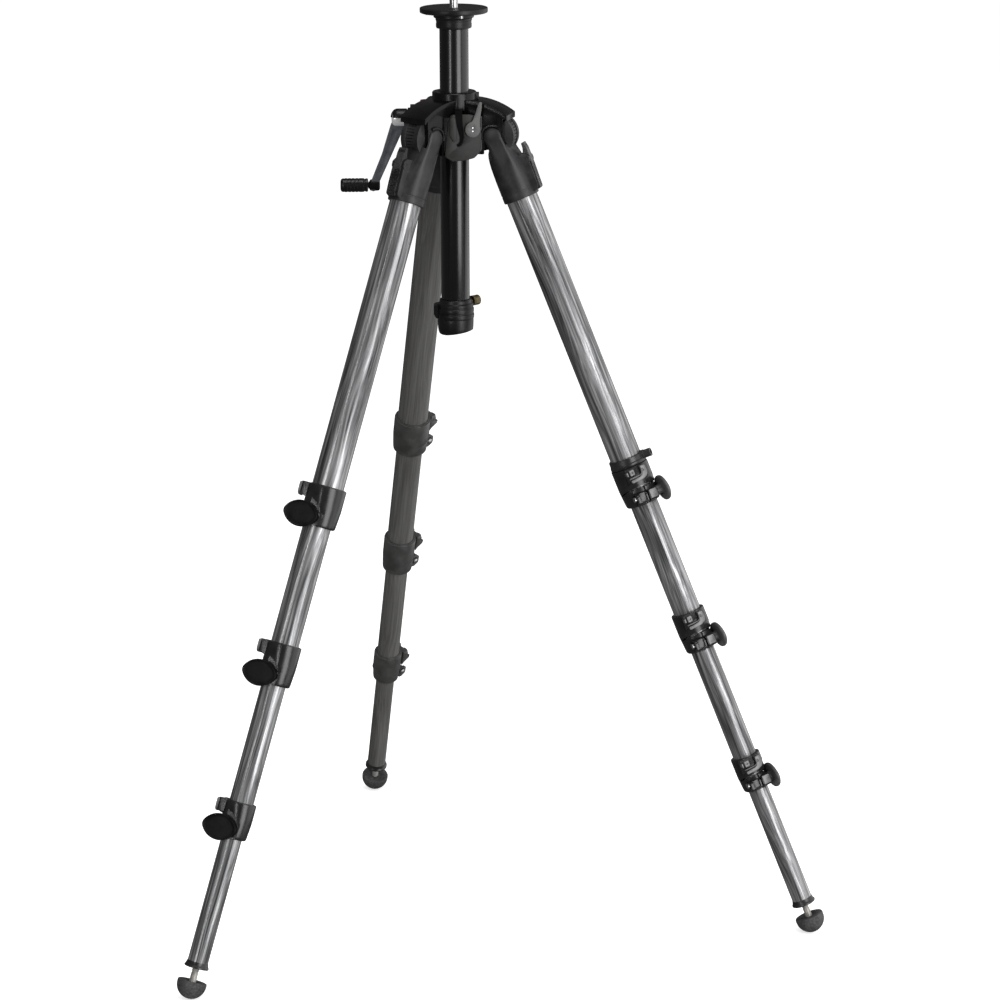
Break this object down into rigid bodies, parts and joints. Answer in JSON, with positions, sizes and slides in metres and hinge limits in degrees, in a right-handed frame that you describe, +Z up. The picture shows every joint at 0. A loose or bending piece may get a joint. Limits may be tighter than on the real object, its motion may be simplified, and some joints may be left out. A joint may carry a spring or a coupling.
{
  "type": "camera tripod",
  "caption": "Folding camera tripod with a geared, cranked centre column, a threaded head plate and telescoping carbon tube legs on rubber feet.",
  "frame": {"origin": "centre of the head plate's top face, on the column's axis", "axes": "+Z up along the column, +X to the right and +Y to the rear, seen from between the two front legs"},
  "size_m": [0.755, 0.755, 1.0972],
  "materials": {
    "cast_black": "satin black paint on an aluminium casting",
    "cast_grey": "satin grey paint on an aluminium casting",
    "plate_black": "satin black",
    "column_gloss": "black anodised, glossy",
    "steel": "bright steel",
    "brass": "bright brass",
    "bush_plastic": "black acetal",
    "level_red": "red moulded bezel",
    "grip_black": "black moulded grip",
    "carbon": "carbon fibre in clear resin",
    "clamp_grey": "satin grey paint on an aluminium casting",
    "knob_black": "black moulded plastic",
    "latch_grey": "textured bar, satin grey",
    "rubber": "moulded rubber"
  },
  "bodies": {
    "hub": {"hub_casting": "cast_black", "column_bushes": "bush_plastic", "hub_pins": "steel", "bearing_cap": "cast_grey", "bubble_level": "level_red"},
    "column": {"column_tube": "column_gloss", "column_rack": "steel", "head_plate": "plate_black", "head_stud": "steel", "plate_grub_screws": "steel", "column_end_collar": "plate_black", "column_end_cap": "plate_black"},
    "end_thumbscrew": {"end_thumbscrew": "brass"},
    "crank": {"pinion_shaft": "steel", "crank_arm": "cast_grey"},
    "crank_grip": {"crank_grip": "grip_black"},
    "lock_lever": {"lock_lever": "cast_grey"},
    "left_leg_upper": {"left_casting": "cast_grey", "left_tube_1": "carbon", "left_clamp_1": "clamp_grey"},
    "left_angle_latch": {"left_angle_latch": "latch_grey"},
    "left_knob_1": {"left_knob_1": "knob_black"},
    "left_leg_2": {"left_tube_2": "carbon", "left_clamp_2": "clamp_grey"},
    "left_knob_2": {"left_knob_2": "knob_black"},
    "left_leg_3": {"left_tube_3": "carbon", "left_clamp_3": "clamp_grey"},
    "left_knob_3": {"left_knob_3": "knob_black"},
    "left_leg_4": {"left_tube_4": "carbon", "left_foot_stem": "steel"},
    "left_foot_pad": {"left_foot_rubber": "rubber"},
    "right_leg_upper": {"right_casting": "cast_grey", "right_tube_1": "carbon", "right_clamp_1": "clamp_grey", "tool_clip": "clamp_grey"},
    "right_angle_latch": {"right_angle_latch": "latch_grey"},
    "right_knob_1": {"right_knob_1": "knob_black"},
    "right_leg_2": {"right_tube_2": "carbon", "right_clamp_2": "clamp_grey"},
    "right_knob_2": {"right_knob_2": "knob_black"},
    "right_leg_3": {"right_tube_3": "carbon", "right_clamp_3": "clamp_grey"},
    "right_knob_3": {"right_knob_3": "knob_black"},
    "right_leg_4": {"right_tube_4": "carbon", "right_foot_stem": "steel"},
    "right_foot_pad": {"right_foot_rubber": "rubber"},
    "back_leg_upper": {"back_casting": "cast_grey", "back_tube_1": "carbon", "back_clamp_1": "clamp_grey"},
    "back_angle_latch": {"back_angle_latch": "latch_grey"},
    "back_knob_1": {"back_knob_1": "knob_black"},
    "back_leg_2": {"back_tube_2": "carbon", "back_clamp_2": "clamp_grey"},
    "back_knob_2": {"back_knob_2": "knob_black"},
    "back_leg_3": {"back_tube_3": "carbon", "back_clamp_3": "clamp_grey"},
    "back_knob_3": {"back_knob_3": "knob_black"},
    "back_leg_4": {"back_tube_4": "carbon", "back_foot_stem": "steel"},
    "back_foot_pad": {"back_foot_rubber": "rubber"}
  },
  "joints": [
    {"name": "column_slide", "type": "slide", "parent": "hub", "child": "column", "axis": [0, 0, 1], "range_m": [-0.07, 0.165]},
    {"name": "crank_turn", "type": "hinge", "parent": "hub", "child": "crank", "pos_m": [-0.06, 0.0226, -0.13], "axis": [-1, 0, 0], "range_deg": [-540, 1265]},
    {"name": "crank_grip_spin", "type": "hinge", "parent": "crank", "child": "crank_grip", "pos_m": [-0.117, 0.0226, -0.208], "axis": [-1, 0, 0], "continuous": true},
    {"name": "lock_lever_swing", "type": "hinge", "parent": "hub", "child": "lock_lever", "pos_m": [0.01972, -0.03302, -0.135], "axis": [0.2588, -0.9659, 0], "range_deg": [0, 45]},
    {"name": "end_thumbscrew_turn", "type": "hinge", "parent": "column", "child": "end_thumbscrew", "pos_m": [0.02121, 0.02121, -0.345], "axis": [0.7071, 0.7071, 0], "continuous": true},
    {"name": "left_hip", "type": "hinge", "parent": "hub", "child": "left_leg_upper", "pos_m": [-0.03535, -0.03535, -0.1444], "axis": [-0.7071, 0.7071, 0], "range_deg": [-22.4, 57.6]},
    {"name": "left_latch_press", "type": "hinge", "parent": "left_leg_upper", "child": "left_angle_latch", "pos_m": [-0.06233, -0.06233, -0.16977], "axis": [0.7071, -0.7071, 0], "range_deg": [0, 4], "stiffness_Nm_per_rad": 0.5, "springref_deg": -2.86},
    {"name": "left_knob_1_turn", "type": "hinge", "parent": "left_leg_upper", "child": "left_knob_1", "pos_m": [-0.17737, -0.17193, -0.551], "axis": [-0.1299, -0.9411, 0.3123], "range_deg": [0, 180]},
    {"name": "left_extend_1", "type": "slide", "parent": "left_leg_upper", "child": "left_leg_2", "axis": [-0.2696, -0.2696, -0.9245], "range_m": [-0.135, 0.18]},
    {"name": "left_knob_2_turn", "type": "hinge", "parent": "left_leg_2", "child": "left_knob_2", "pos_m": [-0.22555, -0.22266, -0.7239], "axis": [-0.1299, -0.9411, 0.3123], "range_deg": [0, 180]},
    {"name": "left_extend_2", "type": "slide", "parent": "left_leg_2", "child": "left_leg_3", "axis": [-0.2696, -0.2696, -0.9245], "range_m": [-0.135, 0.18]},
    {"name": "left_knob_3_turn", "type": "hinge", "parent": "left_leg_3", "child": "left_knob_3", "pos_m": [-0.27213, -0.27173, -0.89115], "axis": [-0.1299, -0.9411, 0.3123], "range_deg": [0, 180]},
    {"name": "left_extend_3", "type": "slide", "parent": "left_leg_3", "child": "left_leg_4", "axis": [-0.2696, -0.2696, -0.9245], "range_m": [-0.142, 0.18]},
    {"name": "left_foot_turn", "type": "hinge", "parent": "left_leg_4", "child": "left_foot_pad", "pos_m": [-0.30474, -0.30474, -1.06823], "axis": [-0.2696, -0.2696, -0.9245], "continuous": true},
    {"name": "right_hip", "type": "hinge", "parent": "hub", "child": "right_leg_upper", "pos_m": [0.0483, -0.01294, -0.1444], "axis": [-0.2588, -0.9659, 0], "range_deg": [-22.4, 57.6]},
    {"name": "right_latch_press", "type": "hinge", "parent": "right_leg_upper", "child": "right_angle_latch", "pos_m": [0.08515, -0.02282, -0.16977], "axis": [0.2588, 0.9659, 0], "range_deg": [0, 4], "stiffness_Nm_per_rad": 0.5, "springref_deg": -2.86},
    {"name": "right_knob_1_turn", "type": "hinge", "parent": "right_leg_upper", "child": "right_knob_1", "pos_m": [0.23758, -0.06764, -0.551], "axis": [0.8799, 0.358, 0.3123], "range_deg": [0, 180]},
    {"name": "right_extend_1", "type": "slide", "parent": "right_leg_upper", "child": "right_leg_2", "axis": [0.3682, -0.0987, -0.9245], "range_m": [-0.135, 0.18]},
    {"name": "right_knob_2_turn", "type": "hinge", "parent": "right_leg_2", "child": "right_knob_2", "pos_m": [0.3056, -0.084, -0.7239], "axis": [0.8799, 0.358, 0.3123], "range_deg": [0, 180]},
    {"name": "right_extend_2", "type": "slide", "parent": "right_leg_2", "child": "right_leg_3", "axis": [0.3682, -0.0987, -0.9245], "range_m": [-0.135, 0.18]},
    {"name": "right_knob_3_turn", "type": "hinge", "parent": "right_leg_3", "child": "right_knob_3", "pos_m": [0.37139, -0.09981, -0.89115], "axis": [0.8799, 0.358, 0.3123], "range_deg": [0, 180]},
    {"name": "right_extend_3", "type": "slide", "parent": "right_leg_3", "child": "right_leg_4", "axis": [0.3682, -0.0987, -0.9245], "range_m": [-0.142, 0.18]},
    {"name": "right_foot_turn", "type": "hinge", "parent": "right_leg_4", "child": "right_foot_pad", "pos_m": [0.41628, -0.11154, -1.06823], "axis": [0.3682, -0.0987, -0.9245], "continuous": true},
    {"name": "back_hip", "type": "hinge", "parent": "hub", "child": "back_leg_upper", "pos_m": [-0.01294, 0.0483, -0.1444], "axis": [0.9659, 0.2588, 0], "range_deg": [-22.4, 57.6]},
    {"name": "back_latch_press", "type": "hinge", "parent": "back_leg_upper", "child": "back_angle_latch", "pos_m": [-0.02282, 0.08515, -0.16977], "axis": [-0.9659, -0.2588, 0], "range_deg": [0, 4], "stiffness_Nm_per_rad": 0.5, "springref_deg": -2.86},
    {"name": "back_knob_1_turn", "type": "hinge", "parent": "back_leg_upper", "child": "back_knob_1", "pos_m": [-0.06021, 0.23958, -0.551], "axis": [-0.75, 0.583, 0.3123], "range_deg": [0, 180]},
    {"name": "back_extend_1", "type": "slide", "parent": "back_leg_upper", "child": "back_leg_2", "axis": [-0.0987, 0.3682, -0.9245], "range_m": [-0.135, 0.18]},
    {"name": "back_knob_2_turn", "type": "hinge", "parent": "back_leg_2", "child": "back_knob_2", "pos_m": [-0.08005, 0.30666, -0.7239], "axis": [-0.75, 0.583, 0.3123], "range_deg": [0, 180]},
    {"name": "back_extend_2", "type": "slide", "parent": "back_leg_2", "child": "back_leg_3", "axis": [-0.0987, 0.3682, -0.9245], "range_m": [-0.135, 0.18]},
    {"name": "back_knob_3_turn", "type": "hinge", "parent": "back_leg_3", "child": "back_knob_3", "pos_m": [-0.09926, 0.37153, -0.89115], "axis": [-0.75, 0.583, 0.3123], "range_deg": [0, 180]},
    {"name": "back_extend_3", "type": "slide", "parent": "back_leg_3", "child": "back_leg_4", "axis": [-0.0987, 0.3682, -0.9245], "range_m": [-0.142, 0.18]},
    {"name": "back_foot_turn", "type": "hinge", "parent": "back_leg_4", "child": "back_foot_pad", "pos_m": [-0.11154, 0.41628, -1.06823], "axis": [-0.0987, 0.3682, -0.9245], "continuous": true}
  ],
  "couplings": [
    {"joint": "crank_turn", "follows": "column_slide", "rad_per_m": 133.33}
  ]
}
